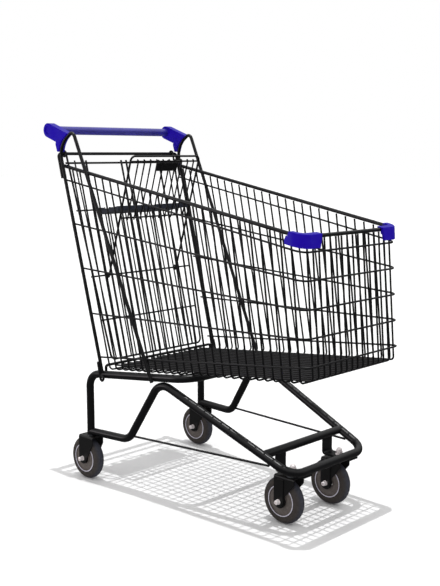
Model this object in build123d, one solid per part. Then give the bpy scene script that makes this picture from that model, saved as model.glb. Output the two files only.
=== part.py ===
from build123d import *
import math
import os

# A nesting shopping trolley: a bent-tube chassis on four swivel casters carries a welded wire
# basket, a rear gate that swings up when trolleys are pushed together, and a folding child seat.
# Millimetres. +Z is up, -Y is the way the trolley travels, X runs across it. The origin is on
# the floor under the middle of the whole trolley. LEFT and RIGHT are those of the person pushing.

SIDES = {"right": -1, "left": 1}

# ---- clearances -------------------------------------------------------------------------------
weld_gap = 0.1        # between round bars that are welded where they cross
seat_gap = 0.05       # between a moulded or pressed piece and what it is fitted to
run_gap = 0.25        # between a wire eye and the rod that it turns on
slide_gap = 0.2       # between flat faces that turn on each other

# ---- wheels and casters -----------------------------------------------------------------------
wheel_radius = 62.5
wheel_width = 32.0
tyre_shoulder = 15.5
hub_radius = 41.5
hub_width = 29.0
hub_recess = 2.5
hub_lip = 3.0
bearing_radius = 11.0
axle_radius = 4.0
axle_gap = 0.05
axle_head_radius = 6.0
axle_head_length = 14.1           # past the fork's outer face
axle_flange = 1.5
axle_socket = (2.2, 3.0)          # half the hexagon's flats, and its depth
fork_gap = 2.0        # between the wheel and each fork leg
fork_sheet = 3.0
fork_rib = 2.5
crown_z = 129.0       # underside of the fork's crown
crown_bend = 6.0
stem_radius = 5.0
stem_gap = 0.05
stem_head_radius = 8.5
nut_flat = 8.25       # half the dome nut's width across flats
nut_height = 17.5

front_caster_x = 98.0
front_caster_y = -353.7
front_trail = 27.7
front_crown = (-20.0, 46.0)       # from the stem, forward and back
front_crown_skirt = 19.0
front_boss = 18.0
front_web_z = 78.0

rear_trail = 16.0
rear_crown = (-29.0, 32.0)
rear_crown_skirt = 22.0
rear_boss = 16.0

# ---- chassis tube -----------------------------------------------------------------------------
tube_radius = 11.0
tube_wall = 1.5
leg_x = 227.4
leg_y = 303.0
leg_foot_z = 135.0
leg_bend = 40.0

hoop_taper = 0.0946               # how far each side closes in per mm forward
hoop_cross_y = -73.0
hoop_corner_bend = 60.0

frame_taper = 0.107
low_run_z = (143.5, 146.0)        # at the leg, and at the low bend
low_bend_y = 152.0
peak_y = 34.6
frame_bend = 45.0
nose_y = -397.0
nose_z = 155.0
nose_bend = 48.0
cross_tube_y = -308.0

strap_width = 38.0
strap_sheet = 5.0
strap_bend = 8.0
strap_y = -312.5                  # mid-plane of the strap's upright part
strap_nose = 4.0                  # how far the strap runs on past the middle of the nose tube

brace_radius = 3.0
brace_z = (159.0, 167.5)
brace_y = (131.0, -327.0)

# ---- basket -----------------------------------------------------------------------------------
rim_radius = 5.0
wire_radius = 2.5
side_at_origin = 208.15           # half width of the basket's rim line at y = 0
side_taper = 0.038
rim_line = (837.5, 0.1838)        # height at y = 0, and rise per mm rearwards
band_lines = ((800.8, 0.181), (705.0, 0.117), (605.4, 0.048), (501.4, -0.0288), (397.2, -0.1046))
floor_line = (359.7, -0.1)
front_line = (-450.9, 719.0, 0.0746)   # y of the front panel, at a height, and its slope
corner_bend = 24.0
cross_wire_count = 26
cross_wire_top = (-414.0, 31.5)   # first wire, and pitch, along the rim
cross_wire_foot = (-448.0, 27.0)  # the same along the floor
cross_wire_bend = 12.0
front_wire_count = 16
front_wire_pitch = 22.64
front_wire_bend = 9.0
band_overrun = 7.0                # past the handle rod's line

floor_rod_radius = 4.0
floor_rod_y = 247.0
floor_rod_end_x = 213.0
floor_rod_bend = 7.0

# ---- handle -----------------------------------------------------------------------------------
hairpin_radius = 5.0
post_foot = (249.0, 337.7)        # y and z where the rear run meets the chassis
post_slope = 0.265                # rearwards per mm up
post_top_z = 968.0
hairpin_peak = (354.0, 1012.0)
hairpin_foot = (45.0, 330.0)
post_bend = 60.0
peak_bend = 15.0
bar_radius = 12.0
bar_wall = 2.0
core_wall = 1.5
bar_y = 457.0
bar_z = 1014.5
bracket_inner_x = 221.0
bracket_width = 22.0
bracket_wrap = 1.0                # how far its front edge stays behind the rod's middle
cap_radius = 20.0
cap_recess_radius = 12.0
cap_recess = 2.0
bar_seat = 14.0                   # how far the bar reaches into each bracket

# ---- bumpers ----------------------------------------------------------------------------------
bumper_out = 11.0
bumper_in = 7.0
bumper_up = 7.5
bumper_down = 26.5
bumper_side = (42.0, 46.0, 51.0, 58.0)  # from the corner: top, rim, under the rim, foot
bumper_front = (79.0, 68.0)       # from the corner: top, foot

# ---- rear gate --------------------------------------------------------------------------------
hinge_y = 420.5
hinge_z = 947.0
hinge_radius = 4.5
hinge_tail = 72.0
hinge_bend = 10.0
gate_lean = math.atan(0.262)
gate_rod_radius = 3.0
gate_bar_radius = 2.5
gate_wire_radius = 2.2            # the wires of the gate and of the seat's back
gate_half_top = 212.6
gate_half_foot = 182.0
gate_length = 612.0
gate_corner_bend = 16.0
gate_bar_z = {"seat": 782.5, "back": 593.0, "low": 468.0}
gate_top_bar_z = 919.5
leg_rod_x = (10.0, 145.0)
gate_wires_between = 6
outer_wire_x = (186.0, 164.0)     # at the top bar and at the foot

# ---- child seat -------------------------------------------------------------------------------
back_lean = math.radians(16.95)
back_half = 135.0
back_length = 364.0
back_bars = (179.0, 348.4)        # along the back from its pivot
back_corner_bend = 14.0
back_wire_count = 10
back_wire_pitch = 24.4
plate_size = (82.0, 24.0, 3.0)

pan_tilt = math.radians(11.0)
pan_half = 139.0
pan_start = 12.0                  # from the hinge to the plate, and to the front lip
pan_reach = 104.0
pan_top = -6.4
pan_sheet = 10.0
pan_lip = 14.0
pan_lip_depth = 9.0
pan_groove = 30.0
pan_groove_depth = 4.0
pan_knuckle_gaps = (1, 3, 5)      # which gaps between the gate's wires the knuckles sit in
pan_knuckle_width = 13.0
pan_knuckle_wall = 3.0

# ---- gate stop wires --------------------------------------------------------------------------
stop_radius = 3.5
stop_top_z = 357.0
stop_foot_z = 314.0
stop_ring = 6.5


# ---- lines that several pieces share ----------------------------------------------------------
def side_x(y):
    """Half width of the basket at a place along it."""
    return side_at_origin + side_taper * y


def on_line(line, y):
    """Height of a straight line of the basket, given as its height at y = 0 and its slope."""
    return line[0] + line[1] * y


def front_y(z):
    """Where the front panel stands at a height."""
    y, height, slope = front_line
    return y - slope * (height - z)


def front_of(line):
    """Where a line of the basket meets the front panel, as y and z."""
    y0, height, slope = front_line
    y = (y0 - slope * (height - line[0])) / (1 - slope * line[1])
    return y, on_line(line, y)


def post_y(z):
    """Where the handle's rear run stands at a height."""
    return post_foot[0] + post_slope * (z - post_foot[1])


def under_rim():
    """How far below the rim's centre line a wire's flat end stops."""
    slope = rim_line[1]
    return rim_radius * math.hypot(1, slope) + wire_radius * slope + weld_gap


def rear_of(line):
    """Where a line of the basket passes the handle's rear run, as y."""
    y = (post_foot[0] + post_slope * (line[0] - post_foot[1])) / (1 - post_slope * line[1])
    return y + band_overrun


def hoop_x(y):
    """Half width of the upper hoop's centre line."""
    return leg_x - hoop_taper * (leg_y - y)


def hoop_z(y):
    """Height of the upper hoop's centre line, which lies under the floor wires."""
    return on_line(floor_line, y) - wire_radius - tube_radius - weld_gap


def frame_x(y):
    """Half width of the lower frame's centre line."""
    return leg_x - frame_taper * (leg_y - y)


def hairpin_x(y):
    """Half width of the handle rods, which lie against the rim and the bands."""
    return side_x(y) + max(rim_radius, 2 * wire_radius) + hairpin_radius + weld_gap


peak_z = hoop_z(peak_y) - 2 * tube_radius
arc_rise = 10.8                   # the bend rounds the frame's peak off by this much


def frame_slope_z(y):
    """Height of the lower frame's long run, from its peak down to the nose."""
    return nose_z + (peak_z + arc_rise - nose_z) * (y - nose_y) / (peak_y - nose_y)


def gate_point(down, out, x=0.0):
    """A place on the gate: down from its hinge, and out from its plane towards the front."""
    sine, cosine = math.sin(gate_lean), math.cos(gate_lean)
    return (x, hinge_y - down * sine - out * cosine, hinge_z - down * cosine + out * sine)


def gate_down(z):
    """How far down the gate a height is."""
    return (hinge_z - z) / math.cos(gate_lean)


gate_wire_pitch = (leg_rod_x[1] - leg_rod_x[0]) / (gate_wires_between + 1)
gate_rod_out = hinge_radius + run_gap + gate_rod_radius
gate_bar_out = gate_rod_out - gate_rod_radius - gate_bar_radius - weld_gap
gate_wire_out = gate_bar_out + gate_bar_radius + gate_wire_radius + weld_gap
back_pivot = gate_point(gate_down(gate_bar_z["back"]), gate_bar_out)
pan_pivot = gate_point(gate_down(gate_bar_z["seat"]), gate_bar_out)
back_eye = gate_bar_radius + run_gap + gate_rod_radius


def back_point(up, out, x=0.0):
    """A place on the seat's back: up from its pivot, and out towards the front."""
    sine, cosine = math.sin(back_lean), math.cos(back_lean)
    return (x, back_pivot[1] - up * sine - out * cosine, back_pivot[2] + up * cosine - out * sine)


# ---- shapes -----------------------------------------------------------------------------------
def bar_section(start, towards, radius, bore):
    """The round section that a bar or tube starts with."""
    section = Plane(origin=start, z_dir=towards) * Circle(radius)
    if bore:
        section -= Plane(origin=start, z_dir=towards) * Circle(bore)
    return section


def rod(points, bends, radius, bore=0.0):
    """A round bar, or a tube, along straight runs joined by tangent bends."""
    corners = [Vector(*point) for point in points]
    here = corners[0]
    pieces = []
    for corner, after, bend in zip(corners[1:-1], corners[2:], bends):
        back = (here - corner).normalized()
        ahead = (after - corner).normalized()
        half = math.radians(back.get_angle(ahead)) / 2
        start = corner + back * (bend / math.tan(half))
        centre = corner + (back + ahead).normalized() * (bend / math.sin(half))
        run = start - here
        pieces.append(extrude(bar_section(here, run, radius, bore), run.length, dir=run))
        turn = Axis(centre, ahead.cross(back))
        arc = 180 - math.degrees(2 * half)
        pieces.append(revolve(bar_section(start, run, radius, bore), turn, arc))
        here = corner + ahead * (bend / math.tan(half))
    run = corners[-1] - here
    pieces.append(extrude(bar_section(here, run, radius, bore), run.length, dir=run))
    return pieces[0].fuse(*pieces[1:]) if len(pieces) > 1 else pieces[0]


def ring(centre, radius, wire):
    """A closed wire eye whose hole runs along X."""
    return Plane(origin=centre, z_dir=(1, 0, 0)) * Torus(radius, wire)


def cylinder_x(x, y, z, radius, length):
    """A round piece that starts at x and runs along X."""
    return extrude(Plane(origin=(x, y, z), z_dir=(1, 0, 0)) * Circle(radius), length)


def cylinder_z(x, y, z, radius, length):
    """A round piece that starts at z and runs up."""
    return extrude(Plane(origin=(x, y, z)) * Circle(radius), length)


def trimmed(shape, cutters):
    """A shape cut to its neighbours, keeping its largest piece."""
    for cutter in cutters:
        shape -= cutter
    return max(shape.solids(), key=lambda solid: solid.volume)


def mirrored(points, side):
    """The same points on the side that the sign says."""
    return [(side * x, y, z) for x, y, z in points]


parts = {}


def keep(name, *solids):
    """Stores a node as its separate solids."""
    parts[name] = [solid for shape in solids for solid in shape.solids()]


# ---- chassis ----------------------------------------------------------------------------------
def upper_hoop():
    """Both rear legs and the tube that joins them under the basket, bent from one length."""
    leg = [(leg_x, leg_y, leg_foot_z), (leg_x, leg_y, hoop_z(leg_y))]
    corner = (hoop_x(hoop_cross_y), hoop_cross_y, hoop_z(hoop_cross_y))
    points = leg + [corner] + mirrored([corner] + leg[::-1], -1)
    bends = [leg_bend, hoop_corner_bend, hoop_corner_bend, leg_bend]
    return rod(points, bends, tube_radius, tube_radius - tube_wall)


def lower_frame(radius, bore=0.0):
    """The long run from leg to leg: low run, rise to a peak, fall to the nose and across it."""
    half = [
        (frame_x(leg_y), leg_y, low_run_z[0]),
        (frame_x(low_bend_y), low_bend_y, low_run_z[1]),
        (frame_x(peak_y), peak_y, peak_z + arc_rise),
        (frame_x(nose_y), nose_y, nose_z),
    ]
    points = half + mirrored(half[::-1], -1)
    bends = [frame_bend, frame_bend, nose_bend, nose_bend, frame_bend, frame_bend]
    return rod(points, bends, radius, bore)


def lower_frame_tube():
    """The lower tube, its ends cut to the legs that they are welded to."""
    legs = [cylinder_z(side * leg_x, leg_y, 0, tube_radius + seat_gap, peak_z)
            for side in SIDES.values()]
    return trimmed(lower_frame(tube_radius, tube_radius - tube_wall), legs)


def nose_cross_tube():
    """The straight tube between the falling runs, cut to their curve."""
    reach = frame_x(cross_tube_y)
    z = frame_slope_z(cross_tube_y)
    run = rod([(-reach, cross_tube_y, z), (reach, cross_tube_y, z)], [], tube_radius,
              tube_radius - tube_wall)
    return trimmed(run, [lower_frame(tube_radius + seat_gap)])


plate_top = nose_z - tube_radius - weld_gap
plate_foot = plate_top - strap_sheet


def caster_strap(side):
    """A flat bar that hangs from the cross tube and turns forward under the nose tube."""
    tube_z = frame_slope_z(cross_tube_y)
    middle = plate_top - strap_sheet / 2
    line = FilletPolyline((strap_y, tube_z), (strap_y, middle), (nose_y - strap_nose, middle),
                          radius=strap_bend)
    face = Plane.YZ * trace(line, strap_sheet)
    start = side * front_caster_x - strap_width / 2
    strap = Pos(start, 0, 0) * extrude(face, strap_width)
    strap -= cylinder_x(-leg_x, cross_tube_y, tube_z, tube_radius + seat_gap, 2 * leg_x)
    strap -= cylinder_z(side * front_caster_x, front_caster_y, 0, stem_radius + seat_gap, tube_z)
    low = [piece for piece in strap.solids() if piece.bounding_box().min.Z < plate_top]
    return low[0]


def side_brace(side):
    """The thin rod low along each side, from the low bend to the falling run."""
    ends = [(side * frame_x(y), y, z) for y, z in zip(brace_y, brace_z)]
    return trimmed(rod(ends, [], brace_radius), [lower_frame(tube_radius + seat_gap)])


# ---- casters ----------------------------------------------------------------------------------
def fork(x, y, trail, crown, skirt, boss, ribbed):
    """A pressed-steel fork: an inverted channel cut to the side shape of its legs."""
    half = wheel_width / 2 + fork_gap + fork_sheet
    crown_top = crown_z + fork_sheet
    outer = Plane.XZ * (Pos(0, crown_top / 2) * Rectangle(2 * half, crown_top))
    outer = fillet(outer.vertices().group_by(Axis.Z)[-1], crown_bend)
    inner_height = crown_z
    inner = Plane.XZ * (Pos(0, inner_height / 2) * Rectangle(2 * (half - fork_sheet), inner_height))
    inner = fillet(inner.vertices().group_by(Axis.Z)[-1], crown_bend - fork_sheet)
    length = crown[1] - crown[0] + boss
    channel = Pos(0, crown[1] + boss, 0) * extrude(outer - inner, length + boss)

    low = crown_top - skirt
    skirt_box = Pos((crown[0] + crown[1]) / 2, (low + crown_top) / 2) * Rectangle(
        crown[1] - crown[0], skirt)
    boss_disc = Pos(trail, wheel_radius) * Circle(boss)
    if ribbed:
        leg = make_hull((boss_disc + Pos(trail, crown_top - boss) * Rectangle(2 * boss, 2 * boss))
                        .edges())
        web = Polyline((crown[0], low), (trail - boss, front_web_z), (trail, front_web_z),
                       (trail, crown_top), (crown[0], crown_top), close=True)
        outline = leg + make_face(web) + skirt_box
    else:
        outline = make_hull((boss_disc + skirt_box).edges())
    side_shape = extrude(Plane.YZ * outline, half + 1, both=True)
    body = channel & side_shape
    if ribbed:
        rib_half = boss - 3
        rib_foot = Pos(trail, wheel_radius) * Circle(rib_half)
        rib_top = Pos(trail, crown_z - crown_bend - rib_half) * Rectangle(2 * rib_half, 2 * rib_half)
        rib = make_hull((rib_foot + rib_top).edges())
        for sign in (-1, 1):
            start = half if sign > 0 else -half - fork_rib
            body += Pos(start, 0, 0) * extrude(Plane.YZ * rib, fork_rib)
    body -= cylinder_x(-2 * half, trail, wheel_radius, axle_radius + seat_gap, 4 * half)
    body -= cylinder_z(0, 0, crown_z - 1, stem_radius + stem_gap, fork_sheet + 2)
    return Pos(x, y, 0) * body


def axle(x, y, trail, proud):
    """The axle bolt, with a flanged round head on each of the fork's outer faces."""
    face = wheel_width / 2 + fork_gap + fork_sheet + proud
    tip = wheel_width / 2 + fork_gap + fork_sheet + axle_head_length
    flange = face + axle_flange
    crown = axle_head_radius / 2
    bolt = cylinder_x(-face, 0, 0, axle_radius, 2 * face)
    for start, end, radius in ((face, flange, axle_head_radius + 1), (flange, tip, axle_head_radius)):
        for low in (start, -end):
            bolt += cylinder_x(low, 0, 0, radius, end - start)
    rims = bolt.edges().filter_by(lambda edge: abs(edge.center().X) > tip - 0.01)
    bolt = fillet(rims, crown)
    flat, depth = axle_socket
    for start in (tip - depth, -tip):
        socket = Plane.YZ * RegularPolygon(flat, 6, major_radius=False)
        bolt -= Pos(start, 0, 0) * extrude(socket, depth)
    return Pos(x, y + trail, wheel_radius) * bolt


def tyre(x, y):
    """A moulded tyre with a rounded tread."""
    half = wheel_width / 2
    profile = Plane.XY * (Pos(0, (wheel_radius + hub_radius + seat_gap) / 2) * Rectangle(
        2 * half, wheel_radius - hub_radius - seat_gap))
    profile = fillet(profile.vertices().group_by(Axis.Y)[-1], tyre_shoulder)
    profile = chamfer(profile.vertices().group_by(Axis.Y)[0], 1.0)
    return Pos(x, y, wheel_radius) * revolve(profile, Axis.X)


def hub(x, y):
    """The wheel centre: a solid boss and rim joined by a web that is set back in each face."""
    half = hub_width / 2
    bore = bearing_radius + seat_gap
    outline = [(-half, bore), (-half, bearing_radius + 5), (-half + hub_recess, bearing_radius + 8),
               (-half + hub_recess, hub_radius - hub_lip), (-half, hub_radius - hub_lip + 1),
               (-half, hub_radius)]
    points = outline + [(-u, v) for u, v in reversed(outline)]
    return Pos(x, y, wheel_radius) * revolve(make_face(Polyline(*points, close=True)), Axis.X)


def bearing(x, y):
    """The bearing sleeve that fills the hub and runs on the axle between the fork legs."""
    half = wheel_width / 2 + fork_gap - slide_gap
    ring_face = Plane(origin=(-half, 0, 0), z_dir=(1, 0, 0)) * (
        Circle(bearing_radius) - Circle(axle_radius + axle_gap))
    return Pos(x, y, wheel_radius) * extrude(ring_face, 2 * half)


def stem(x, y, head_height, top):
    """The swivel pin, with its head under the crown."""
    head_z = crown_z - slide_gap - head_height
    pin = cylinder_z(x, y, head_z, stem_radius, top - head_z)
    return pin + cylinder_z(x, y, head_z, stem_head_radius, head_height)


def collar(x, y, z, radius, height, bore):
    """A washer-shaped ring."""
    face = Plane(origin=(x, y, z)) * (Circle(radius) - Circle(bore))
    return extrude(face, height)


def casters():
    """All four casters: each fork, axle, hub, bearing and tyre is a node of its own."""
    crown_top = crown_z + fork_sheet
    stems_front, races, washers, nuts, plugs = [], [], [], [], []
    for name, side in SIDES.items():
        x = side * front_caster_x
        keep(f"front_{name}_fork", fork(x, front_caster_y, front_trail, front_crown,
                                        front_crown_skirt, front_boss, True))
        keep(f"front_{name}_axle", axle(x, front_caster_y, front_trail, fork_rib))
        wheel_nodes(f"front_{name}", x, front_caster_y + front_trail)
        washer_z = plate_top + 2.5
        stems_front.append(stem(x, front_caster_y, 4.0, washer_z + nut_height - nut_flat))
        races.append(collar(x, front_caster_y, crown_top + slide_gap, 17.0,
                            plate_foot - crown_top - slide_gap, stem_radius + seat_gap))
        washers.append(collar(x, front_caster_y, plate_top, 10.5, 2.5, stem_radius + seat_gap))
        nuts.append(dome_nut(x, front_caster_y, washer_z))

        x = side * leg_x
        keep(f"rear_{name}_fork", fork(x, leg_y, rear_trail, rear_crown, rear_crown_skirt,
                                       rear_boss, False))
        keep(f"rear_{name}_axle", axle(x, leg_y, rear_trail, 0.0))
        wheel_nodes(f"rear_{name}", x, leg_y + rear_trail)
        races.append(collar(x, leg_y, crown_top + slide_gap, tube_radius,
                            leg_foot_z - crown_top - slide_gap, stem_radius + seat_gap))
        plug = stem(x, leg_y, 2.4, leg_foot_z + 2)
        plug += cylinder_z(x, leg_y, leg_foot_z, tube_radius - tube_wall - seat_gap, 45.0)
        plugs.append(plug)
    keep("caster_bolts", *stems_front)
    keep("caster_races", *races)
    keep("caster_washers", *washers)
    keep("caster_dome_nuts", *nuts)
    keep("caster_leg_plugs", *plugs)


def wheel_nodes(name, x, y):
    """The three pieces that turn together."""
    keep(f"{name}_tyre", tyre(x, y))
    keep(f"{name}_hub", hub(x, y))
    keep(f"{name}_bearing", bearing(x, y))


def dome_nut(x, y, z):
    """A domed M10 nut with a blind hole."""
    dome = nut_flat - 0.5
    base = nut_height - dome
    body = extrude(Plane(origin=(x, y, z)) * RegularPolygon(nut_flat, 6, major_radius=False),
                   base - 1.5)
    body += cylinder_z(x, y, z, dome, base)
    body += Pos(x, y, z + base) * Sphere(dome)
    body -= cylinder_z(x, y, z, stem_radius + seat_gap, base + 1.5)
    return body & Pos(x, y, z + nut_height) * Box(60, 60, 2 * nut_height)


# ---- basket -----------------------------------------------------------------------------------
def basket_loop(line, out, radius, bend):
    """A rod or wire along both sides and round the front, in one sloping plane."""
    front, z = front_of(line)
    rear = rear_of(line)
    corner = (side_x(front) + out, front - out, on_line(line, front - out))
    tail = (side_x(rear) + out, rear, on_line(line, rear))
    return rod([tail, corner] + mirrored([corner, tail], -1), [bend, bend], radius)


def rim():
    """The thick rod round the basket's top, which butts against the handle's rear runs."""
    return basket_loop(rim_line, 0.0, rim_radius, corner_bend)


def cross_wire(index):
    """One wire down a side, across under the floor and up the other side."""
    top_y = cross_wire_top[0] + cross_wire_top[1] * index
    foot_y = cross_wire_foot[0] + cross_wire_foot[1] * index
    inset = wire_radius + weld_gap
    top = (side_x(top_y) - inset, top_y, on_line(rim_line, top_y) - under_rim())
    foot = (side_x(foot_y) - inset, foot_y, on_line(floor_line, foot_y))
    return rod([top, foot] + mirrored([foot, top], -1), [cross_wire_bend] * 2, wire_radius)


def front_wire(index):
    """One wire down the front panel and back along the floor, on top of the cross wires."""
    x = (index - (front_wire_count - 1) / 2) * front_wire_pitch
    inset = wire_radius + weld_gap
    rim_y, rim_z = front_of(rim_line)
    lay = 2 * wire_radius + weld_gap
    foot_line = (floor_line[0] + lay, floor_line[1])
    foot_y, foot_z = front_of(foot_line)
    tail_y = floor_rod_y + floor_rod_radius
    points = [
        (x, rim_y + inset, rim_z - under_rim()),
        (x, foot_y + inset, on_line(foot_line, foot_y + inset)),
        (x, tail_y, on_line(foot_line, tail_y)),
    ]
    return rod(points, [front_wire_bend], wire_radius)


def floor_rod():
    """The thicker rod across the floor's rear edge, turned down to the chassis at each end."""
    z = on_line(floor_line, floor_rod_y) + 3 * wire_radius + floor_rod_radius + 2 * weld_gap
    end = (floor_rod_end_x, floor_rod_y, hoop_z(floor_rod_y))
    corner = (floor_rod_end_x, floor_rod_y, z)
    bar = rod([end, corner] + mirrored([corner, end], -1), [floor_rod_bend] * 2, floor_rod_radius)
    return trimmed(bar, hoop_trim())


def hoop_trim():
    """The space that the upper hoop's side runs take, for trimming what lands on them."""
    pieces = []
    for side in SIDES.values():
        ends = [(side * hoop_x(y), y, hoop_z(y)) for y in (leg_y, hoop_cross_y)]
        pieces.append(rod(ends, [], tube_radius + seat_gap))
    return pieces


def basket():
    """Rim, bands, cross wires, front wires and the floor's rear rod."""
    keep("basket_rim_rod", rim())
    out = wire_radius
    keep("basket_band_wires", *[basket_loop(line, out, wire_radius, corner_bend + out)
                                for line in band_lines])
    keep("basket_cross_wires", *[cross_wire(index) for index in range(cross_wire_count)])
    keep("basket_front_wires", *[front_wire(index) for index in range(front_wire_count)])
    keep("basket_floor_rod", floor_rod())


# ---- handle -----------------------------------------------------------------------------------
def hairpin_points(side):
    """The handle rod's corners: up the basket's rear edge, over the peak, down to the hoop."""
    foot_y, foot_z = post_foot
    front_y_foot, front_z_foot = hairpin_foot
    foot_x = hoop_x(front_y_foot) + tube_radius + hairpin_radius + weld_gap
    low = hoop_z(foot_y)
    top_x = hairpin_x(hairpin_peak[0])
    points = [
        (hairpin_x(post_y(low)), post_y(low), low),
        (hairpin_x(post_y(post_top_z)), post_y(post_top_z), post_top_z),
        (top_x, hairpin_peak[0], hairpin_peak[1]),
        (foot_x, front_y_foot, front_z_foot),
    ]
    return mirrored(points, side)


def hairpin(side):
    """One handle rod, cut where its rear run stands on the chassis tube."""
    bar = rod(hairpin_points(side), [post_bend, peak_bend], hairpin_radius)
    return trimmed(bar, hoop_trim())


def disc(place, radius):
    """A filled circle at a place given as y and z."""
    return Pos(*place) * Circle(radius)


def handle_bracket(side):
    """The moulded arm that sits on the rod's bend and carries the handle bar."""
    bend_y, bend_z = post_y(post_top_z), post_top_z
    peak_y, peak_z = hairpin_peak
    cap = disc((bar_y, bar_z), cap_radius)
    shoulder = disc((bend_y - 14, bend_z + 16), 9.0)
    nose = disc((peak_y + peak_bend, peak_z - 15.5), 8.0)
    arm = make_hull((cap + shoulder + nose).edges())
    leg = make_hull((disc((bend_y - 5.5, bend_z + 7), 10.5)
                     + disc((bend_y - 5, bend_z - 11), 4.5)).edges())
    face = arm + leg
    path = [(y, z) for x, y, z in hairpin_points(1)]
    inside = make_face(FilletPolyline(*path, radius=(post_bend, peak_bend), close=False)
                       + Line(path[-1], path[0]))
    face -= offset(inside, bracket_wrap)
    face = max(face.faces(), key=lambda piece: piece.area)
    start = bracket_inner_x if side > 0 else -bracket_inner_x - bracket_width
    body = Pos(start, 0, 0) * extrude(Plane.YZ * face, bracket_width)
    outer = side * (bracket_inner_x + bracket_width)
    recess_start = outer if side < 0 else outer - cap_recess
    body -= cylinder_x(recess_start, bar_y, bar_z, cap_recess_radius, cap_recess)
    inner = side * bracket_inner_x
    seat_start = inner if side > 0 else inner - bar_seat
    body -= cylinder_x(seat_start, bar_y, bar_z, bar_radius + seat_gap, bar_seat)
    body -= rod(hairpin_points(side), [post_bend, peak_bend], hairpin_radius + seat_gap)
    return max(body.solids(), key=lambda solid: solid.volume)


def handle():
    """Rods, brackets, the plastic grip and the steel tube inside it."""
    for name, side in SIDES.items():
        keep(f"handle_rod_{name}", hairpin(side))
        keep(f"handle_bracket_{name}", handle_bracket(side))
    reach = bracket_inner_x + bar_seat - slide_gap
    face = Plane(origin=(-reach, bar_y, bar_z), z_dir=(1, 0, 0))
    core_radius = bar_radius - bar_wall - seat_gap
    keep("handle_grip", extrude(face * (Circle(bar_radius) - Circle(bar_radius - bar_wall)),
                                2 * reach))
    keep("handle_core_tube", extrude(face * (Circle(core_radius) - Circle(core_radius - core_wall)),
                                     2 * reach))


# ---- bumpers ----------------------------------------------------------------------------------
def bumper(side):
    """The moulded corner guard, drawn flat on the rim's plane and then tilted with it."""
    front, rim_z = front_of(rim_line)
    half = side_x(front)
    on_rim = Plane(origin=(0, front, rim_z), x_dir=(1, 0, 0), z_dir=(0, -rim_line[1], 1))
    down_panel = Vector(0, -front_line[2], -1).normalized()
    inner = rim_radius / 2
    reach_side, reach_front = max(bumper_side), max(bumper_front)

    def band(near, far):
        middle = (near + far) / 2
        path = FilletPolyline((half + middle, reach_side - bumper_out), (half + middle, -middle),
                              (half + bumper_out - reach_front, -middle),
                              radius=corner_bend + middle)
        return on_rim * trace(path, far - near)

    body = extrude(band(inner, bumper_out), bumper_down, dir=down_panel)
    body += extrude(band(inner, bumper_out), bumper_up, dir=down_panel * -1)
    lid = extrude(band(-bumper_in, bumper_out), bumper_up, dir=down_panel * -1)
    lid -= extrude(band(-bumper_in, inner), inner, dir=down_panel * -1)
    body = (body + lid).clean()
    for cutter in bumper_ends(on_rim, half):
        body -= cutter
    rims = body.edges().filter_by(lambda edge: abs(on_rim.to_local_coords(edge).center().Z) > 7)
    body = chamfer(rims, 1.2)
    if side < 0:
        body = mirror(body, Plane.YZ)
    body -= basket_loop(rim_line, 0.0, rim_radius + seat_gap, corner_bend)
    return max(body.solids(), key=lambda solid: solid.volume)


def bumper_ends(on_rim, half):
    """What slants the bumper's two ends: along the side with a step under the rim, and in front."""
    top, foot = bumper_up + 5, -bumper_down - 5
    at_top, at_rim, under, at_foot = [reach - bumper_out for reach in bumper_side]
    step = -rim_radius
    far = 2 * at_foot
    side_cut = make_face(Polyline((at_top, top), (at_rim, step), (under, step), (at_foot, foot),
                                  (far, foot), (far, top), close=True))
    along = Plane(origin=on_rim.origin, x_dir=on_rim.y_dir, z_dir=(1, 0, 0))
    side_block = extrude(along * side_cut, half + 2 * bumper_out)
    edge = half + bumper_out
    front_cut = make_face(Polyline((edge - bumper_front[0], top), (edge - bumper_front[1], foot),
                                   (0, foot), (0, top), close=True))
    across = Plane(origin=on_rim.origin, x_dir=(1, 0, 0), z_dir=-on_rim.y_dir)
    front_block = extrude(across * front_cut, 2 * bumper_down, both=True)
    return side_block, front_block


# ---- rear gate --------------------------------------------------------------------------------
def gate_half(down):
    """Half width of the gate at a distance down from its hinge."""
    return gate_half_top + (gate_half_foot - gate_half_top) * down / gate_length


def hinge_rod():
    """The fixed rod across the rear that the gate hangs on, its ends turned down the posts."""
    end_x = hairpin_x(post_y(hinge_z))
    tail = (end_x, hinge_y - hinge_tail * math.sin(gate_lean),
            hinge_z - hinge_tail * math.cos(gate_lean))
    corner = (end_x, hinge_y, hinge_z)
    return rod([tail, corner] + mirrored([corner, tail], -1), [hinge_bend] * 2, hinge_radius)


def gate_frame():
    """The gate's outer rod, one length with an eye at each end that turns on the hinge rod."""
    half = [gate_point(0, gate_rod_out, gate_half_top), gate_point(gate_length, gate_rod_out,
                                                                   gate_half_foot)]
    bar = rod(half + mirrored(half[::-1], -1), [gate_corner_bend] * 2, gate_rod_radius)
    for side in SIDES.values():
        bar += ring((side * gate_half_top, hinge_y, hinge_z), gate_rod_out, gate_rod_radius)
    return bar


def gate_bar(z, radius, overhang):
    """A bar across the back of the gate's rods."""
    down = gate_down(z)
    out = gate_rod_out - gate_rod_radius - radius - weld_gap
    reach = gate_half(down) + overhang
    return rod([gate_point(down, out, -reach), gate_point(down, out, reach)], [], radius)


def gate_upright(x_top, x_foot, z_top, radius, out):
    """A rod or wire down the gate, which stops on its bottom rod."""
    foot = gate_length - gate_rod_radius - weld_gap
    return rod([gate_point(gate_down(z_top), out, x_top), gate_point(foot, out, x_foot)], [], radius)


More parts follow.
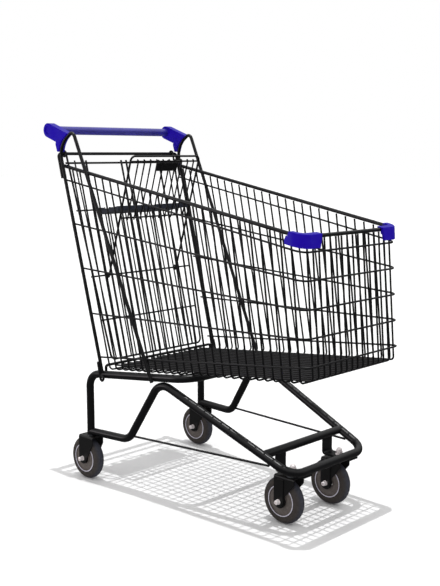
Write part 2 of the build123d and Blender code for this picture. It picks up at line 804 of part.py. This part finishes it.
def gate():
    """Outer rod, cross bars, leg-opening rods and wires."""
    keep("gate_hinge_rod", hinge_rod())
    keep("gate_outer_rod", gate_frame())
    bars = [gate_bar(gate_top_bar_z, gate_rod_radius, gate_rod_radius)]
    bars += [gate_bar(z, gate_bar_radius, gate_rod_radius) for z in gate_bar_z.values()]
    keep("gate_cross_bars", *bars)
    top = gate_top_bar_z + 2 * gate_rod_radius
    keep("gate_leg_rods", *[gate_upright(sign * x, sign * x, top, gate_rod_radius, gate_rod_out)
                            for x in leg_rod_x for sign in (-1, 1)])
    wires = []
    seat_z = gate_bar_z["seat"] + 2 * gate_bar_radius
    for sign in (-1, 1):
        for index in range(gate_wires_between):
            x = sign * (leg_rod_x[0] + gate_wire_pitch * (index + 1))
            wires.append(gate_upright(x, x, seat_z, gate_wire_radius, gate_wire_out))
        wires.append(gate_upright(sign * outer_wire_x[0], sign * outer_wire_x[1], top,
                                  gate_wire_radius, gate_wire_out))
    keep("gate_wires", *wires)


def stop_wire(side):
    """The short wire beside each post's foot, with an eye at its lower end."""
    reach = stop_radius + weld_gap
    top_y, foot_y = post_y(stop_top_z), post_y(stop_foot_z)
    top = (side * (hairpin_x(top_y) + hairpin_radius + reach), top_y, stop_top_z)
    foot = (side * (hoop_x(top_y) + tube_radius + reach), foot_y, stop_foot_z)
    bar = rod([top, foot], [], stop_radius)
    bar += Pos(*top) * Sphere(stop_radius)
    eye = (foot[0], foot[1] - stop_ring, foot[2])
    return bar + ring(eye, stop_ring, stop_radius)


# ---- child seat -------------------------------------------------------------------------------
def seat_back():
    """The back's frame, bars and wires, and the blank plate near its top."""
    top = back_point(back_length, back_eye, back_half)
    foot = back_point(0, back_eye, back_half)
    frame = rod([foot, top] + mirrored([top, foot], -1), [back_corner_bend] * 2, gate_rod_radius)
    for side in SIDES.values():
        frame += ring((side * back_half, back_pivot[1], back_pivot[2]), back_eye, gate_rod_radius)
    keep("seat_back_frame", frame)
    reach = back_half - gate_rod_radius - weld_gap
    keep("seat_back_bars", *[rod([back_point(up, back_eye, -reach), back_point(up, back_eye, reach)],
                                 [], gate_bar_radius) for up in back_bars])
    out = back_eye + gate_bar_radius + gate_wire_radius + weld_gap
    over = gate_bar_radius + 2 * gate_wire_radius + weld_gap
    wires = []
    for index in range(back_wire_count):
        x = (index - (back_wire_count - 1) / 2) * back_wire_pitch
        points = [back_point(back_bars[0] - gate_bar_radius - gate_wire_radius, out, x),
                  back_point(back_bars[1] + over - gate_wire_radius, out, x),
                  back_point(back_bars[1] + over - gate_wire_radius, back_eye, x)]
        wires.append(rod(points, [over - gate_wire_radius - 0.6], gate_wire_radius))
    keep("seat_back_wires", *wires)
    width, height, sheet = plate_size
    middle = Plane(origin=back_point(back_bars[1] - height / 2 - 2, out + gate_wire_radius + weld_gap),
                   x_dir=(1, 0, 0),
                   z_dir=(0, -math.cos(back_lean), -math.sin(back_lean)))
    keep("seat_back_plate", extrude(middle * RectangleRounded(width, height, 4), sheet))


def seat_pan():
    """The moulded seat flap, with knuckles that clip on the gate's seat bar."""
    profile = Polyline((pan_start, pan_top), (pan_reach, pan_top + 2), (pan_reach, pan_top + 2 - pan_lip),
                       (pan_reach - pan_lip_depth, pan_top + 2 - pan_lip),
                       (pan_reach - pan_lip_depth - 4, pan_top - pan_sheet),
                       (pan_start, pan_top - pan_sheet), close=True)
    flap = extrude(Plane(origin=(-pan_half, 0, 0), x_dir=(0, -1, 0), z_dir=(-1, 0, 0))
                   * make_face(profile), -2 * pan_half)
    upright = flap.edges().filter_by(Axis.X)
    flap = fillet(upright, 1.2)
    groove_x = pan_groove / 2
    groove = Pos(0, -(pan_start + pan_reach) / 2, pan_top) * Box(2 * groove_x, 2 * pan_reach,
                                                                2 * pan_groove_depth)
    flap -= groove
    bore = gate_bar_radius + run_gap
    for side in SIDES.values():
        for gap in pan_knuckle_gaps:
            x = side * (leg_rod_x[0] + gate_wire_pitch * (gap + 0.5))
            start = x - pan_knuckle_width / 2
            knuckle = cylinder_x(start, 0, 0, bore + pan_knuckle_wall, pan_knuckle_width)
            arm_low = pan_top - pan_sheet + 2
            arm = Pos(x, -(pan_start + 6) / 2, arm_low / 2) * Box(
                pan_knuckle_width, pan_start + 6, -arm_low)
            flap += knuckle + arm
            flap -= cylinder_x(start - 1, 0, 0, bore, pan_knuckle_width + 2)
    flap = Rot(-math.degrees(pan_tilt), 0, 0) * flap
    keep("seat_pan", Pos(0, pan_pivot[1], pan_pivot[2]) * flap)


# ---- the whole trolley ------------------------------------------------------------------------
keep("rear_hoop_tube", upper_hoop())
keep("lower_frame_tube", lower_frame_tube())
keep("nose_cross_tube", nose_cross_tube())
for side_name, side_sign in SIDES.items():
    keep(f"caster_strap_{side_name}", caster_strap(side_sign))
    keep(f"side_brace_{side_name}", side_brace(side_sign))
    keep(f"bumper_{side_name}", bumper(side_sign))
casters()
basket()
handle()
gate()
keep("gate_stop_wires", *[stop_wire(side_sign) for side_sign in SIDES.values()])
seat_back()
seat_pan()

os.makedirs("parts", exist_ok=True)
for node, solids in parts.items():
    shape = solids[0] if len(solids) == 1 else Compound(solids)
    export_step(shape, f"parts/{node}.step")
print(len(parts), "nodes", sum(len(solids) for solids in parts.values()), "solids")
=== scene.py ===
# %% [markdown]
# # A nesting shopping trolley
# The engineering model already holds every tube, wire, moulding and wheel at its true size. This
# lesson dresses it: each finish is built from nodes, and the wheels are modelled again in finer
# detail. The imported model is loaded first, because every later size and place is read from it.

# %% Load the engineering model
import math

import bpy
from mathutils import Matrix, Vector


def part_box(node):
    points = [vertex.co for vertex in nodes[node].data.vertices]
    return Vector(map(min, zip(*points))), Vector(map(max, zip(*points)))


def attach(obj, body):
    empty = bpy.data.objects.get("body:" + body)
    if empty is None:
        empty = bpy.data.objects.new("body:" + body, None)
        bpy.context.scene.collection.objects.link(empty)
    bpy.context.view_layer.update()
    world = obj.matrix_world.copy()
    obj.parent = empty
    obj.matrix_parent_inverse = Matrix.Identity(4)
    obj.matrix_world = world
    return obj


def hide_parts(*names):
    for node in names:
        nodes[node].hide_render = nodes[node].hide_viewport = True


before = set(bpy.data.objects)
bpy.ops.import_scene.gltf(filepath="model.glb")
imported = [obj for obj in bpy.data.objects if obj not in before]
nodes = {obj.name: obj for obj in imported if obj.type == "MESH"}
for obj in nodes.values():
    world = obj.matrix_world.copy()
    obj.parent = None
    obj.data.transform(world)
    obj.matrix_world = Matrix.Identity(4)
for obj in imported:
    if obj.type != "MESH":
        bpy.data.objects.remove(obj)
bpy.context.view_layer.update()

MM = 0.001

# %% [markdown]
# A colour is given as an sRGB hex value, and a shader wants linear light, so one function turns
# one into the other. A second function adds a node: it sets the node's own options, fills its
# inputs, and links an input when it is given another node's output instead of a number.

# %% Colour and node helpers
def linear(hex_colour):
    """An sRGB hex colour as linear red, green, blue and alpha."""
    channels = [int(hex_colour[i:i + 2], 16) / 255 for i in (1, 3, 5)]
    return tuple(c / 12.92 if c <= 0.04045 else ((c + 0.055) / 1.055) ** 2.4
                 for c in channels) + (1.0,)


def add(tree, kind, inputs=None, **options):
    """Adds a node, sets its options, and fills or links its inputs."""
    node = tree.nodes.new("ShaderNode" + kind)
    for name, value in options.items():
        setattr(node, name, value)
    for name, value in (inputs or {}).items():
        socket = node.inputs[name]
        if isinstance(value, bpy.types.NodeSocket):
            tree.links.new(value, socket)
        else:
            socket.default_value = value
    return node


def start_material(name):
    """A new material with an empty principled surface, and where its patterns are placed."""
    material = bpy.data.materials.new(name)
    material.use_nodes = True
    tree = material.node_tree
    surface = tree.nodes["Principled BSDF"]
    place = add(tree, "TexCoord")
    return material, tree, surface, place


def dress(material, *names):
    """Gives CAD nodes a material."""
    for name in names:
        data = nodes[name].data
        data.materials.clear()
        data.materials.append(material)

print("helpers ready")

# %% [markdown]
# ## Powder coat
# The wire and tube are steel under a black polyester powder coat: dry powder is sprayed on, charged
# so that it clings, and melted in an oven. It flows out into a satin skin with a faint orange peel
# of about two millimetres, a little dust settles on what faces up, and the sheen is never quite
# even. One material serves all of it, because the whole trolley is coated in one pass after
# welding. Noise gives the peel and the uneven sheen, and the surface's own normal says what faces
# up.

# %% Black powder-coated steel
def powder_coat(name, base, dusty, rough_low, rough_high):
    material, tree, surface, place = start_material(name)
    patches = add(tree, "TexNoise", {"Vector": place.outputs["Object"], "Scale": 1 / (35 * MM),
                                     "Detail": 3.0})
    grit = add(tree, "TexNoise", {"Vector": place.outputs["Object"], "Scale": 1 / (4 * MM),
                                  "Detail": 4.0})
    up = add(tree, "SeparateXYZ", {"Vector": place.outputs["Normal"]})
    top = add(tree, "MapRange", {"Value": up.outputs["Z"], "From Min": 0.55, "From Max": 1.0})
    dust = add(tree, "Math", {0: top.outputs["Result"], 1: grit.outputs["Fac"]},
               operation="MULTIPLY")
    uneven = add(tree, "MapRange", {"Value": patches.outputs["Fac"], "From Min": 0.3,
                                    "From Max": 0.7, "To Min": 0.0, "To Max": 0.15})
    amount = add(tree, "Math", {0: dust.outputs[0], 1: uneven.outputs["Result"]}, operation="ADD")
    colour = add(tree, "MixRGB", {"Fac": amount.outputs[0], "Color1": linear(base),
                                  "Color2": linear(dusty)})
    tree.links.new(colour.outputs[0], surface.inputs["Base Color"])
    sheen = add(tree, "MapRange", {"Value": grit.outputs["Fac"], "From Min": 0.3, "From Max": 0.7,
                                   "To Min": rough_low, "To Max": rough_high})
    tree.links.new(sheen.outputs["Result"], surface.inputs["Roughness"])
    peel = add(tree, "TexNoise", {"Vector": place.outputs["Object"], "Scale": 1 / (2 * MM),
                                  "Detail": 1.0})
    bump = add(tree, "Bump", {"Height": peel.outputs["Fac"], "Strength": 0.05,
                              "Distance": 0.02 * MM})
    tree.links.new(bump.outputs["Normal"], surface.inputs["Normal"])
    surface.inputs["IOR"].default_value = 1.5
    surface.inputs["Specular IOR Level"].default_value = 0.35
    return material


black_coat = powder_coat("black_polyester_powder_coat", "#050508", "#131315", 0.32, 0.37)
black_fork = powder_coat("black_coated_pressed_steel", "#0a0a0b", "#1d1b1a", 0.32, 0.46)
wires = [n for n in nodes if n.startswith(("basket_", "gate_", "handle_rod", "side_brace",
                                           "rear_hoop", "lower_frame", "nose_cross",
                                           "caster_strap", "seat_back"))]
dress(black_coat, *wires)
dress(black_fork, *[n for n in nodes if n.endswith("_fork")])
print("coated", len(wires), "nodes")

# %% [markdown]
# ## Mouldings
# The blue brackets and corner guards and the slate seat flap are moulded polypropylene, coloured
# all through. Such plastic is a little soft to the eye: a fine spark-eroded grain of the mould
# breaks up the highlight, and knocks leave pale scuffs. The grain is drawn at about a millimetre,
# and the scuffs are where a large and a small noise are both high.

# %% Moulded polypropylene
def moulded(name, base, pale, roughness, grain_mm, grain_depth, scuff, gloss):
    material, tree, surface, place = start_material(name)
    clouds = add(tree, "TexNoise", {"Vector": place.outputs["Object"], "Scale": 1 / (22 * MM),
                                    "Detail": 2.0})
    rubs = add(tree, "TexNoise", {"Vector": place.outputs["Object"], "Scale": 1 / (3 * MM),
                                  "Detail": 5.0, "Roughness": 0.7})
    both = add(tree, "Math", {0: clouds.outputs["Fac"], 1: rubs.outputs["Fac"]},
               operation="MULTIPLY")
    marks = add(tree, "MapRange", {"Value": both.outputs[0], "From Min": 0.28, "From Max": 0.45,
                                   "To Min": 0.0, "To Max": scuff})
    colour = add(tree, "MixRGB", {"Fac": marks.outputs["Result"], "Color1": linear(base),
                                  "Color2": linear(pale)})
    tree.links.new(colour.outputs[0], surface.inputs["Base Color"])
    rough = add(tree, "MapRange", {"Value": clouds.outputs["Fac"], "From Min": 0.3,
                                   "From Max": 0.7, "To Min": roughness - 0.06,
                                   "To Max": roughness + 0.08})
    tree.links.new(rough.outputs["Result"], surface.inputs["Roughness"])
    grain = add(tree, "TexVoronoi", {"Vector": place.outputs["Object"],
                                     "Scale": 1 / (grain_mm * MM)})
    bump = add(tree, "Bump", {"Height": grain.outputs["Distance"], "Strength": 0.3,
                              "Distance": grain_depth * MM})
    tree.links.new(bump.outputs["Normal"], surface.inputs["Normal"])
    surface.inputs["IOR"].default_value = 1.49
    surface.inputs["Specular IOR Level"].default_value = gloss
    return material


blue_moulding = moulded("moulded_blue_polypropylene", "#1d04a0", "#3220b4", roughness=0.36,
                        grain_mm=0.9, grain_depth=0.03, scuff=0.15, gloss=0.1)
slate_moulding = moulded("moulded_slate_polypropylene", "#282c38", "#4a4f5c", roughness=0.5,
                         grain_mm=1.2, grain_depth=0.05, scuff=0.3, gloss=0.3)
dress(blue_moulding, "bumper_left", "bumper_right", "handle_bracket_left", "handle_bracket_right")
dress(slate_moulding, "seat_pan")
print("moulded plastics ready")

# %% [markdown]
# ## The grip
# The bar is an extruded sleeve: melted plastic pushed through a die and drawn off, so its marks run
# along its length. A noise squeezed hard along the bar gives those draw lines, and it is a shade
# glossier than the moulded parts because hands polish it.

# %% Extruded grip sleeve
grip_skin, tree, surface, place = start_material("extruded_blue_grip_sleeve")
stretch = add(tree, "Mapping", {"Vector": place.outputs["Object"],
                                "Scale": (1 / (120 * MM), 1 / (1.5 * MM), 1 / (1.5 * MM))})
draw_lines = add(tree, "TexNoise", {"Vector": stretch.outputs[0], "Scale": 1.0, "Detail": 3.0})
hand_wear = add(tree, "TexNoise", {"Vector": place.outputs["Object"], "Scale": 1 / (60 * MM),
                                   "Detail": 2.0})
worn = add(tree, "MapRange", {"Value": hand_wear.outputs["Fac"], "From Min": 0.35,
                              "From Max": 0.65, "To Min": 0.0, "To Max": 0.4})
colour = add(tree, "MixRGB", {"Fac": worn.outputs["Result"], "Color1": linear("#2b2690"),
                              "Color2": linear("#3a38a8")})
tree.links.new(colour.outputs[0], surface.inputs["Base Color"])
polish = add(tree, "MapRange", {"Value": draw_lines.outputs["Fac"], "To Min": 0.24,
                                "To Max": 0.4})
tree.links.new(polish.outputs["Result"], surface.inputs["Roughness"])
bump = add(tree, "Bump", {"Height": draw_lines.outputs["Fac"], "Strength": 0.2,
                          "Distance": 0.05 * MM})
tree.links.new(bump.outputs["Normal"], surface.inputs["Normal"])
surface.inputs["IOR"].default_value = 1.5
surface.inputs["Specular IOR Level"].default_value = 0.9
dress(grip_skin, "handle_grip")
print("grip dressed")

# %% [markdown]
# ## Bright and dull plating
# Axles and domed nuts are nickel plated and bright; the races, plugs and bearing sleeves are zinc
# plated, greyer and softer. Zinc is bare metal to the shader. The nickel is mostly non-metal and
# painted near white instead, a painted reflection on its pale silver, because its ends face the
# unlit side, where bare metal would mirror only the dark. Stains and an uneven sheen of a few
# millimetres cloud both.

# %% Plated steel
def plated(name, colour, stain, rough_low, rough_high, metal):
    material, tree, surface, place = start_material(name)
    bloom = add(tree, "TexNoise", {"Vector": place.outputs["Object"], "Scale": 1 / (5 * MM),
                                   "Detail": 4.0})
    tone = add(tree, "MapRange", {"Value": bloom.outputs["Fac"], "From Min": 0.35,
                                  "From Max": 0.75})
    mix = add(tree, "MixRGB", {"Fac": tone.outputs["Result"], "Color1": linear(colour),
                               "Color2": linear(stain)})
    tree.links.new(mix.outputs[0], surface.inputs["Base Color"])
    rough = add(tree, "MapRange", {"Value": bloom.outputs["Fac"], "From Min": 0.3,
                                   "From Max": 0.7, "To Min": rough_low, "To Max": rough_high})
    tree.links.new(rough.outputs["Result"], surface.inputs["Roughness"])
    scratch = add(tree, "TexNoise", {"Vector": place.outputs["Object"], "Scale": 1 / (0.7 * MM)})
    bump = add(tree, "Bump", {"Height": scratch.outputs["Fac"], "Strength": 0.1,
                              "Distance": 0.02 * MM})
    tree.links.new(bump.outputs["Normal"], surface.inputs["Normal"])
    surface.inputs["Metallic"].default_value = metal
    return material


# The nickel's near-white colour is its pale silver painted lighter, a painted reflection.
nickel_painted_reflection = plated("nickel_plated_steel_painted_reflection", "#fdf6f6", "#e6dede",
                        rough_low=0.3, rough_high=0.42, metal=0.3)
zinc_plating = plated("zinc_plated_steel", "#8d9096", "#6d6f74",
                      rough_low=0.3, rough_high=0.46, metal=1.0)
dress(nickel_painted_reflection, "caster_dome_nuts", "caster_washers", "caster_bolts",
      *[n for n in nodes if n.endswith("_axle")])
dress(zinc_plating, "caster_races", "caster_leg_plugs", "handle_core_tube",
      *[n for n in nodes if n.endswith("_bearing")])
print("plated metals ready")

# %% [markdown]
# ## Wheels
# Each wheel is three mouldings turned about one axle: a grey rubber tyre with a full round tread,
# a nylon centre, and the pale ring where the two meet. A wheel starts as a cylinder of the right
# size, lying along X. Its flat ends are inset to make rings of faces, the rings are pushed in or
# out, and the rims are bevelled round. Every point then stores how far it is from the axle, so that
# a material can draw rings round the wheel wherever it stands.

# %% Turned pieces
ROUND_SIDES = 96        # flats that stand for a full turn
STEP_WALL = 0.35 * MM   # width of the slope between two levels of an end
SAME = 0.01 * MM        # two places this near are one


def select_only(mesh, faces=(), edges=()):
    """Leaves only these faces or edges selected, and says which kind edit mode is to use."""
    for items in (mesh.vertices, mesh.edges, mesh.polygons):
        items.foreach_set("select", [False] * len(items))
    for item in (*faces, *edges):
        item.select = True
    bpy.context.tool_settings.mesh_select_mode = (False, bool(edges), bool(faces))


def blank(name, centre, radius, half):
    """A cylinder along X, in edit mode, with its two flat ends selected."""
    bpy.ops.object.select_all(action="DESELECT")
    bpy.ops.mesh.primitive_cylinder_add(vertices=ROUND_SIDES, radius=radius, depth=2 * half,
                                        location=centre, rotation=(0, math.pi / 2, 0))
    piece = bpy.context.active_object
    piece.name = name
    piece.data.name = name
    bpy.ops.object.transform_apply(location=True, rotation=True, scale=True)
    select_only(piece.data, faces=[face for face in piece.data.polygons
                                   if abs(face.normal.x) > 0.9])
    bpy.ops.object.mode_set(mode="EDIT")
    return piece


def step(inward, outward):
    """Insets both ends by a width, and moves them out, or in if negative, each its own way."""
    bpy.ops.mesh.inset(thickness=inward, depth=0)
    bpy.ops.mesh.inset(thickness=STEP_WALL, depth=outward)


def bore_through():
    """Opens both ends and joins the two round holes with a wall."""
    bpy.ops.mesh.delete(type="ONLY_FACE")
    bpy.ops.mesh.select_mode(type="EDGE")
    bpy.ops.mesh.select_non_manifold()
    bpy.ops.mesh.bridge_edge_loops()


def round_rim(piece, centre, radius, width, segments):
    """Rounds the two outer rims."""
    bpy.ops.object.mode_set(mode="OBJECT")
    points = piece.data.vertices
    middle = Vector(centre)
    rims = []
    for edge in piece.data.edges:
        ends = [points[index].co - middle for index in edge.vertices]
        at_rim = all(abs(math.hypot(end.y, end.z) - radius) < SAME for end in ends)
        if at_rim and abs(ends[0].x - ends[1].x) < SAME:
            rims.append(edge)
    select_only(piece.data, edges=rims)
    bpy.ops.object.mode_set(mode="EDIT")
    bpy.ops.mesh.bevel(offset=width, segments=segments, profile=0.5)


def turned(piece, centre, material, body, node=None):
    """Finishes a turned piece: normals, smoothing, the stored radius, material and body."""
    bpy.ops.mesh.select_all(action="SELECT")
    bpy.ops.mesh.normals_make_consistent(inside=False)
    bpy.ops.object.mode_set(mode="OBJECT")
    bpy.ops.object.shade_smooth_by_angle(angle=math.radians(35))
    middle = Vector(centre)
    stored = piece.data.attributes.new("from_axle", "FLOAT", "POINT")
    stored.data.foreach_set("value", [math.hypot(point.co.y - middle.y, point.co.z - middle.z)
                                      for point in piece.data.vertices])
    piece.data.materials.clear()
    piece.data.materials.append(material)
    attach(piece, body)
    if node:
        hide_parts(node)

print("turning tools ready")

# %% [markdown]
# The tyre's rubber is warm grey on its side walls, and the tread is painted a cooler, blue grey, a
# painted reflection. Fine rings from the mould show on the wall. The centre is grey nylon with a
# cloudy tone, and the ring is paler and smoother than both.

# %% Wheel materials
def ringed(name, wall, tread, rough, ring_mm, ring_depth, gloss):
    material, tree, surface, place = start_material(name)
    # Faces round the axle take the tread colour; on the tyre its cool blue grey is a painted
    # reflection.
    axle_way = add(tree, "SeparateXYZ", {"Vector": place.outputs["Normal"]})
    flat = add(tree, "Math", {0: axle_way.outputs["X"]}, operation="ABSOLUTE")
    side_wall = add(tree, "MapRange", {"Value": flat.outputs[0], "From Min": 0.35,
                                       "From Max": 0.9})
    colour = add(tree, "MixRGB", {"Fac": side_wall.outputs["Result"], "Color1": linear(tread),
                                  "Color2": linear(wall)})
    cloud = add(tree, "TexNoise", {"Vector": place.outputs["Object"], "Scale": 1 / (6 * MM),
                                   "Detail": 5.0})
    tone = add(tree, "MapRange", {"Value": cloud.outputs["Fac"], "From Min": 0.3,
                                  "From Max": 0.7, "To Min": 0.85, "To Max": 1.15})
    shade = add(tree, "VectorMath", {0: colour.outputs[0], "Scale": tone.outputs["Result"]},
                operation="SCALE")
    tree.links.new(shade.outputs[0], surface.inputs["Base Color"])
    surface.inputs["Roughness"].default_value = rough
    surface.inputs["Specular IOR Level"].default_value = gloss
    away = add(tree, "Attribute", attribute_name="from_axle")
    wave = add(tree, "Math", {0: away.outputs["Fac"], 1: 2 * math.pi / (ring_mm * MM)},
               operation="MULTIPLY")
    rings = add(tree, "Math", {0: wave.outputs[0]}, operation="SINE")
    grain = add(tree, "Math", {0: rings.outputs[0], 1: cloud.outputs["Fac"]}, operation="ADD")
    bump = add(tree, "Bump", {"Height": grain.outputs[0], "Strength": 0.3,
                              "Distance": ring_depth * MM})
    tree.links.new(bump.outputs["Normal"], surface.inputs["Normal"])
    return material


# The tyre's tread colour, cooler and bluer than its wall, is a painted reflection.
tyre_rubber = ringed("grey_moulded_tyre_rubber", "#3d3835", "#3a3b44", 0.62, 1.6, 0.05, 0.25)
nylon = ringed("grey_moulded_nylon", "#625b57", "#58524f", 0.5, 3.2, 0.03, 0.3)
pale_ring = ringed("pale_grey_ring", "#cfccd8", "#bcb9c6", 0.4, 5.0, 0.01, 0.3)
print("wheel materials ready")

# %% Wheel pieces
TYRE_SHOULDER = 15.5 * MM
RING_HALF = 0.6 * MM
RING_STANDS_OUT = 0.35 * MM     # from the centre's end to the ring's middle


def round_size(node):
    """The middle, the radius and the half width of a turned CAD node that lies along X."""
    low, high = (Vector(corner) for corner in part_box(node))
    return (low + high) / 2, (high.z - low.z) / 2, (high.x - low.x) / 2


def rubber_tyre(wheel, body):
    centre, radius, half = round_size(f"{wheel}_tyre")
    piece = blank(f"{wheel}_rubber_tyre", centre, radius, half)
    bpy.ops.mesh.inset(thickness=TYRE_SHOULDER + 0.1 * MM, depth=0)
    step(1.2 * MM, 0.3 * MM)
    step(2.0 * MM, -0.5 * MM)
    bpy.ops.mesh.inset(thickness=0.9 * MM, depth=-0.4 * MM)
    bore_through()
    round_rim(piece, centre, radius, TYRE_SHOULDER, 12)
    turned(piece, centre, tyre_rubber, body, f"{wheel}_tyre")


def nylon_centre(wheel, body):
    centre, radius, half = round_size(f"{wheel}_hub")
    piece = blank(f"{wheel}_nylon_centre", centre, radius, half)
    bpy.ops.mesh.inset(thickness=2.6 * MM, depth=0)
    step(0.4 * MM, -2.4 * MM)
    step(9.0 * MM, 0.6 * MM)
    step(8.0 * MM, 1.2 * MM)
    bpy.ops.mesh.inset(thickness=3.0 * MM, depth=0)
    bore_through()
    round_rim(piece, centre, radius, 0.5 * MM, 2)
    turned(piece, centre, nylon, body, f"{wheel}_hub")


def ring(wheel, body, name, way):
    centre, radius, half = round_size(f"{wheel}_hub")
    place = centre + Vector((way * (half + RING_STANDS_OUT), 0, 0))
    piece = blank(f"{wheel}_{name}", place, radius, RING_HALF)
    bpy.ops.mesh.inset(thickness=2.3 * MM, depth=0)
    bore_through()
    round_rim(piece, place, radius, 0.3 * MM, 3)
    turned(piece, place, pale_ring, body)

print("wheel pieces ready")

# %% Four wheels
for end in ("front", "rear"):
    for side in ("left", "right"):
        wheel = f"{end}_{side}"
        body = f"{wheel}_wheel"
        rubber_tyre(wheel, body)
        nylon_centre(wheel, body)
        ring(wheel, body, "ring_in", -1)
        ring(wheel, body, "ring_out", 1)
print("wheels built")

# %% [markdown]
# ## Camera, light and floor
# The trolley stands on a plain pale floor. Light falls almost straight down, so the basket's grid
# lies under it as a soft shadow. The sky is bright overhead and dim near the horizon, which keeps
# the sides dark, though the camera itself sees plain white. A small round lamp out to one side
# casts no shadow and lights the axle ends. The lens is a long one, at about the handle's height.

# %% Camera
eye = Vector((-1918.3, -1844.0, 948.6)) * MM
looking = Vector((0.7136, 0.6853, -0.1450))
camera_data = bpy.data.cameras.new("camera")
camera_data.sensor_fit = "VERTICAL"
camera_data.sensor_height = 36.0
camera_data.lens = 58.62
camera_data.clip_start = 0.05
camera = bpy.data.objects.new("camera", camera_data)
camera.location = eye
camera.rotation_euler = looking.to_track_quat("-Z", "Y").to_euler()
bpy.context.scene.collection.objects.link(camera)
bpy.context.scene.camera = camera
print("camera at", tuple(round(v, 3) for v in eye))

# %% Floor
FLOOR_SIZE = 60     # metres, so that its edge is far out of sight
bpy.ops.object.select_all(action="DESELECT")
bpy.ops.mesh.primitive_grid_add(x_subdivisions=8, y_subdivisions=8, size=FLOOR_SIZE)
floor = bpy.context.active_object
floor.name = "floor"
floor_paint, tree, surface, place = start_material("pale_matt_floor")
mottle = add(tree, "TexNoise", {"Vector": place.outputs["Object"], "Scale": 3.0, "Detail": 2.0})
tone = add(tree, "MixRGB", {"Fac": mottle.outputs["Fac"], "Color1": linear("#f4f4f4"),
                            "Color2": linear("#f8f8f8")})
tree.links.new(tone.outputs[0], surface.inputs["Base Color"])
surface.inputs["Roughness"].default_value = 0.9
surface.inputs["Specular IOR Level"].default_value = 0.1
floor.data.materials.append(floor_paint)
floor.visible_glossy = False
print("floor laid")

# %% Lamps
def lamp(name, kind, energy):
    """A lamp in the scene, and its settings."""
    settings = bpy.data.lights.new(name, kind)
    settings.energy = energy
    holder = bpy.data.objects.new(name, settings)
    bpy.context.scene.collection.objects.link(holder)
    return holder, settings


sun, sun_data = lamp("overhead", "SUN", 1.6)
sun_data.angle = math.radians(0.7)
sun.rotation_euler = (math.radians(-0.9), math.radians(1.5), 0)
card, card_data = lamp("side_card", "AREA", 9.0)
card_data.shape = "DISK"
card_data.size = 0.5
card_data.color = (1.0, 0.93, 0.96)
card_data.use_shadow = False
card.location = (-2.2, 1.6, 0.8)
card_aim = Vector((0, 0, 0.1))
card.rotation_euler = (card_aim - card.location).to_track_quat("-Z", "Y").to_euler()
print("lamps placed")

# %% Sky
world = bpy.data.worlds.new("studio")
bpy.context.scene.world = world
world.use_nodes = True
sky_tree = world.node_tree
sky = sky_tree.nodes["Background"]
sky.inputs["Color"].default_value = (1, 1, 1, 1)
look = add(sky_tree, "TexCoord")
height = add(sky_tree, "SeparateXYZ", {"Vector": look.outputs["Generated"]})
glow = add(sky_tree, "MapRange", {"Value": height.outputs["Z"], "From Min": 0.15,
                                  "From Max": 0.6, "To Min": 0.14, "To Max": 0.95})
seen = add(sky_tree, "LightPath")
strength = add(sky_tree, "Mix", {"Factor": seen.outputs["Is Camera Ray"],
                                 "A": glow.outputs["Result"], "B": 1.0})
sky_tree.links.new(strength.outputs["Result"], sky.inputs["Strength"])
bpy.context.scene.view_settings.view_transform = "Standard"
print("sky lit")
